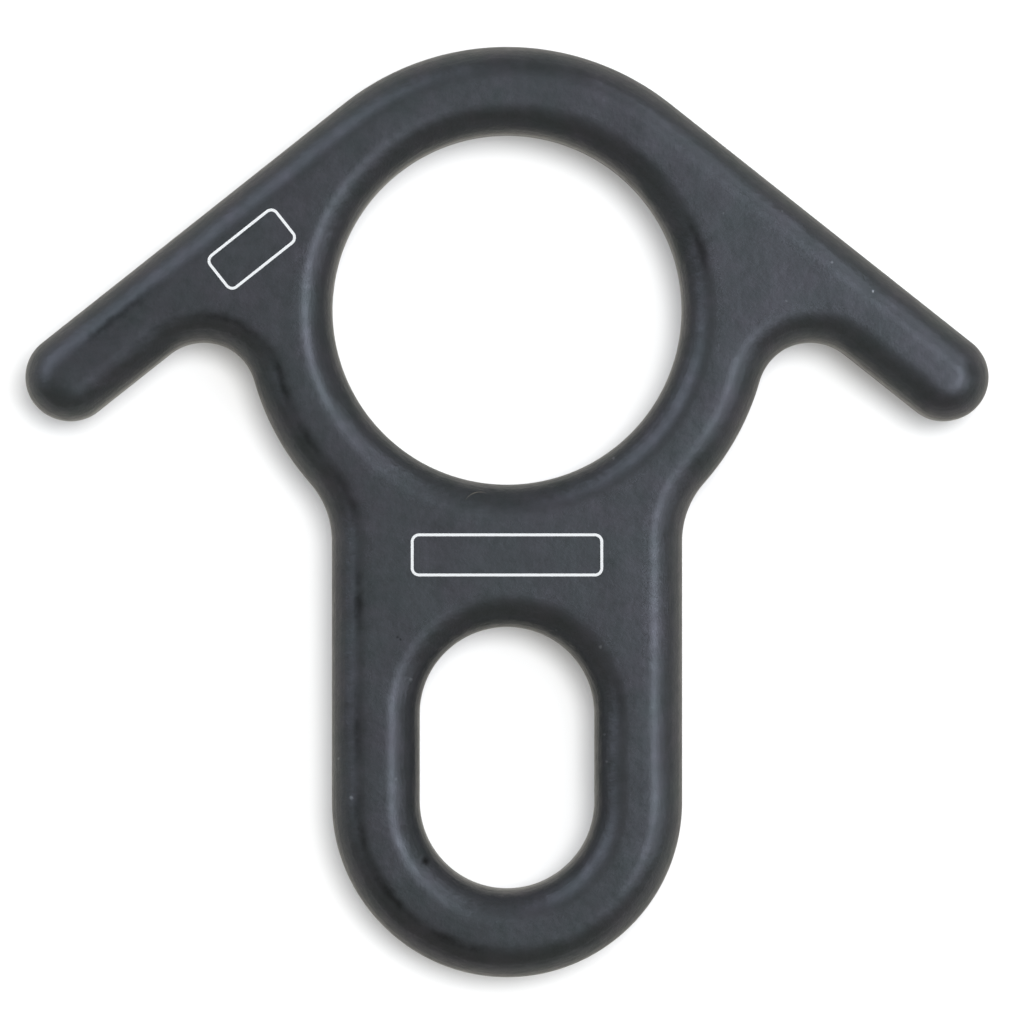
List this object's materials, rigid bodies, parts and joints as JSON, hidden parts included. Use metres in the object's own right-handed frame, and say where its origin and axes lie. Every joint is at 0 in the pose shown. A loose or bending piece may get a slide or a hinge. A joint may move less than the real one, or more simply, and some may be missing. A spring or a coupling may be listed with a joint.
{
  "type": "figure eight descender",
  "caption": "Flat rescue figure eight descender with a large round rope ring, two slanting ears, a wide neck and a slotted carabiner eye, every edge rounded.",
  "frame": {"origin": "under the middle of the plate's length and width, on the back face that it lies on", "axes": "+Z out of the front face, +Y from the carabiner eye towards the top of the rope ring, +X towards the right ear as seen from the front"},
  "size_m": [0.1396, 0.135, 0.0159],
  "materials": {
    "anodised_aluminium": "satin hard anodised, dyed slate grey"
  },
  "bodies": {
    "root": {"descender_body": "anodised_aluminium"}
  },
  "joints": []
}
